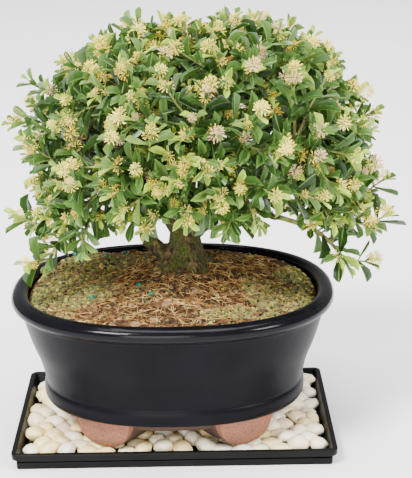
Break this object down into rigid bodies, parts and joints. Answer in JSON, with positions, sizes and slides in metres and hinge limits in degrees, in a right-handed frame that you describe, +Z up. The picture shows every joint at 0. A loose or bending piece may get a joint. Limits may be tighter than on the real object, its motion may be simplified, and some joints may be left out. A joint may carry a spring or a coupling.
{
  "type": "potted flowering boxwood bonsai tree",
  "caption": "Small boxwood tree with a domed, flowering, leafy crown on a short trunk, in an oval glazed footed pot that stands on a rectangular tray of pebbles.",
  "frame": {"origin": "centre of the tray's flat underside", "axes": "+X to the object's right as seen from its front, +Y to its back, +Z up out of the tray's underside"},
  "size_m": [0.2598, 0.1986, 0.2735],
  "materials": {
    "tray_plastic": "semi-gloss moulded plastic",
    "pebble_stone": "smooth, matt to satin",
    "glazed_stoneware": "glossy dark glaze over bare clay feet",
    "mesh_plastic": "matt",
    "soil": "rough, with chips and fibres",
    "bark": "rough, mossy",
    "foliage": "glossy leaves, soft flower tufts"
  },
  "bodies": {
    "root": {"tray": "tray_plastic", "pebbles": "pebble_stone", "pot": "glazed_stoneware", "drain_screen_1": "mesh_plastic", "drain_screen_2": "mesh_plastic", "soil": "soil", "trunk": "bark", "spray_01": "foliage", "spray_02": "foliage", "spray_03": "foliage", "spray_04": "foliage", "spray_05": "foliage", "spray_06": "foliage", "spray_07": "foliage", "spray_08": "foliage", "spray_09": "foliage", "spray_10": "foliage", "spray_11": "foliage", "spray_12": "foliage", "spray_13": "foliage", "spray_14": "foliage", "spray_15": "foliage", "spray_16": "foliage", "spray_17": "foliage", "spray_18": "foliage", "spray_19": "foliage", "spray_20": "foliage", "spray_21": "foliage", "spray_22": "foliage", "spray_back": "foliage", "spray_front_left": "foliage", "spray_front_right": "foliage", "spray_left_high": "foliage", "spray_left_low": "foliage", "spray_right_high": "foliage", "spray_right_low": "foliage", "spray_right_middle": "foliage"}
  },
  "joints": []
}
